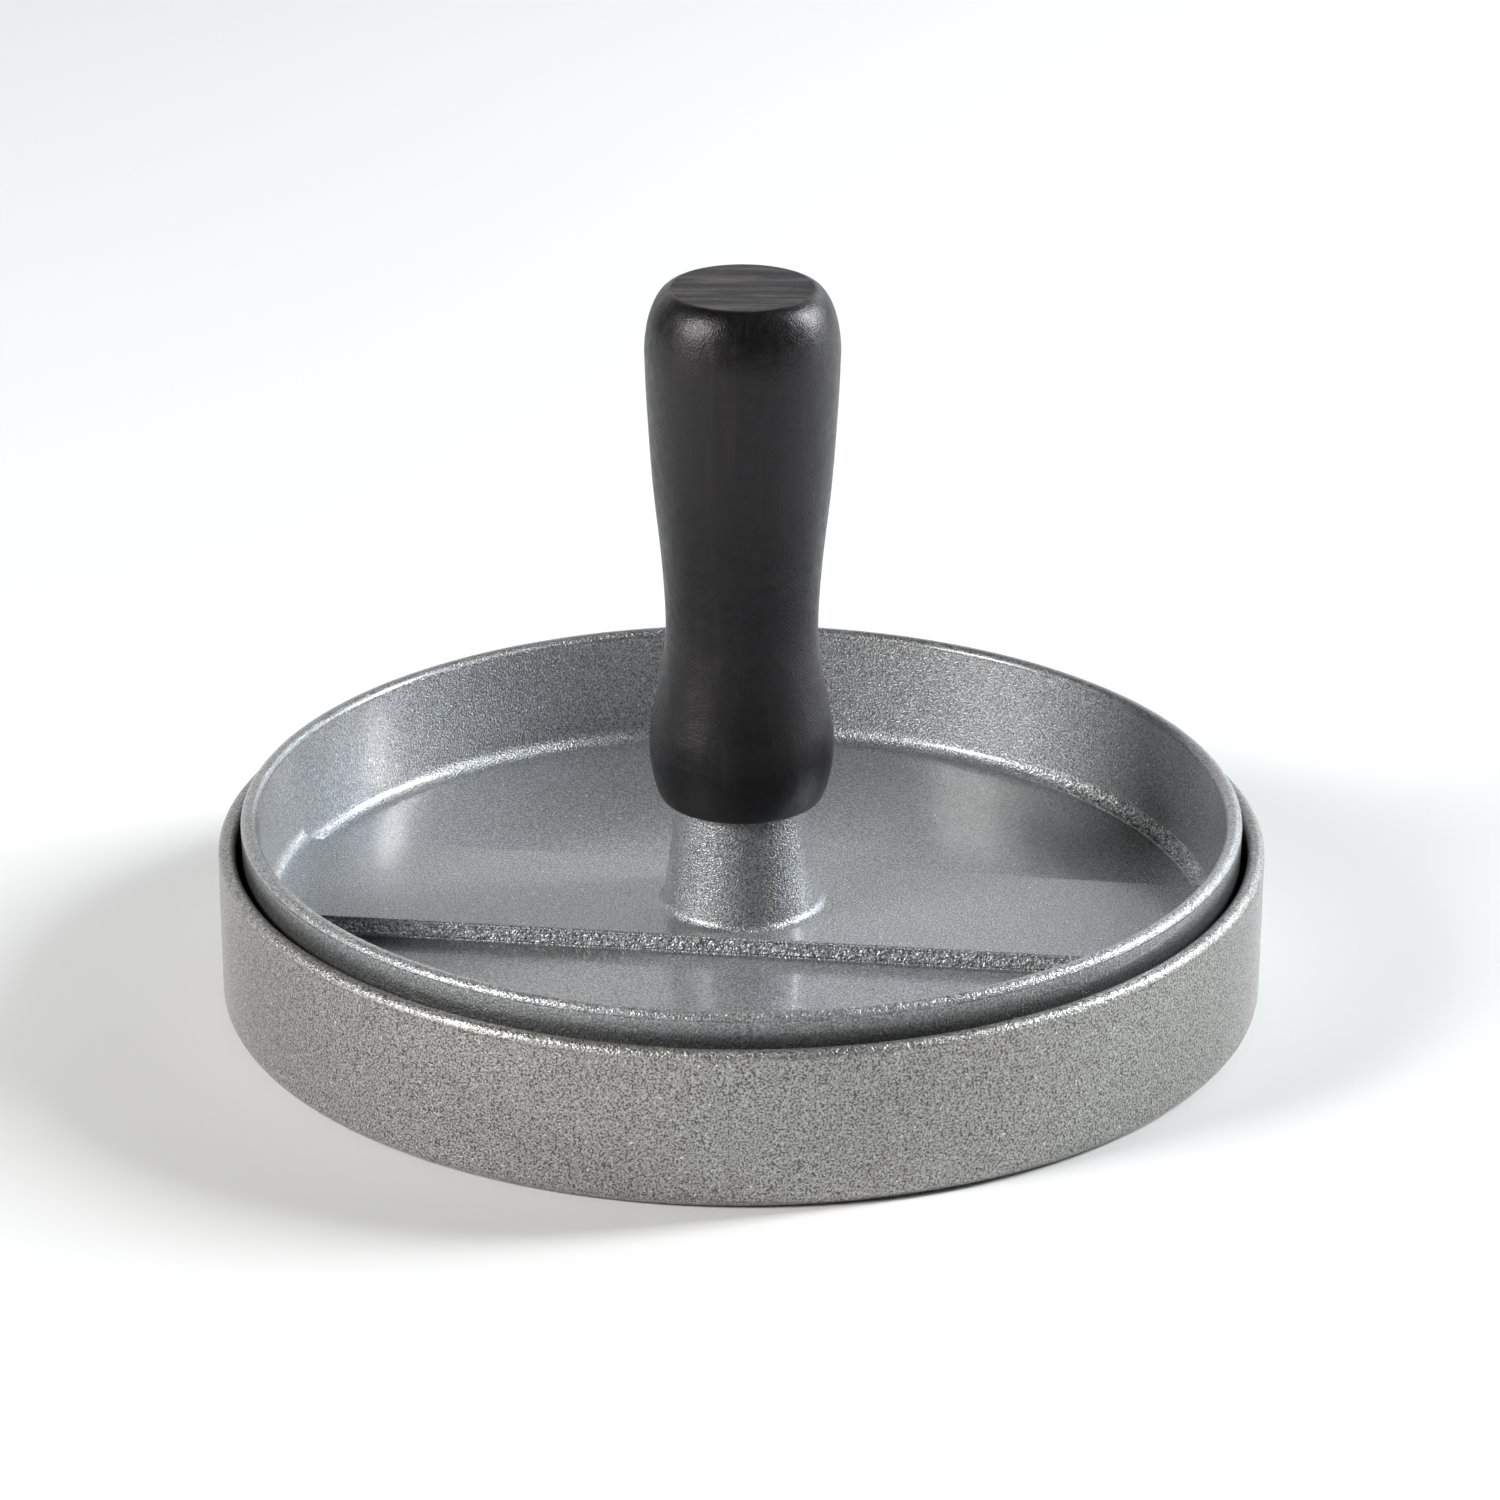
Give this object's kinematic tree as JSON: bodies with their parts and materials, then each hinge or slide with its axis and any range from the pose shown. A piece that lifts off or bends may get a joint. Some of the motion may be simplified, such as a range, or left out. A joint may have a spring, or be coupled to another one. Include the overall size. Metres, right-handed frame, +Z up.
{
  "type": "patty press",
  "caption": "Round hand press for meat patties: a shallow ridged dish, a ridged press plate that drops into it, and a turned upright handle.",
  "frame": {"origin": "on the upright axis that every piece shares, at the plane of the dish's foot ring", "axes": "+Z up along the handle; +X towards the viewer's right and -Y towards the viewer when the stiffening band runs nearly left to right"},
  "size_m": [0.125, 0.125, 0.0882],
  "materials": {
    "dish_coating": "grey metal-flake non-stick coating on cast aluminium, satin",
    "plate_coating": "grey metal-flake non-stick coating on cast aluminium, satin",
    "stained_wood": "black-stained turned wood, satin varnish",
    "zinc_steel": "zinc-plated thread, bright",
    "insert_brass": "machined brass"
  },
  "bodies": {
    "dish": {"base_dish": "dish_coating"},
    "stud": {"neck_stud": "zinc_steel"},
    "press": {"press_plate": "plate_coating"},
    "insert": {"handle_insert": "insert_brass"},
    "handle": {"handle_grip": "stained_wood"}
  },
  "joints": [
    {"name": "press_lift", "type": "slide", "parent": "dish", "child": "stud", "axis": [0, 0, 1], "range_m": [0, 0.045]},
    {"name": "press_turn", "type": "hinge", "parent": "stud", "child": "press", "pos_m": [0, 0, 0.0054], "axis": [0, 0, 1], "continuous": true},
    {"name": "handle_rise", "type": "slide", "parent": "press", "child": "insert", "axis": [0, 0, 1], "range_m": [0, 0.012]},
    {"name": "handle_unscrew", "type": "hinge", "parent": "insert", "child": "handle", "pos_m": [0, 0, 0.0246], "axis": [0, 0, 1], "range_deg": [0, 4320]}
  ],
  "couplings": [
    {"joint": "handle_rise", "follows": "handle_unscrew", "m_per_rad": 0.00015915}
  ]
}
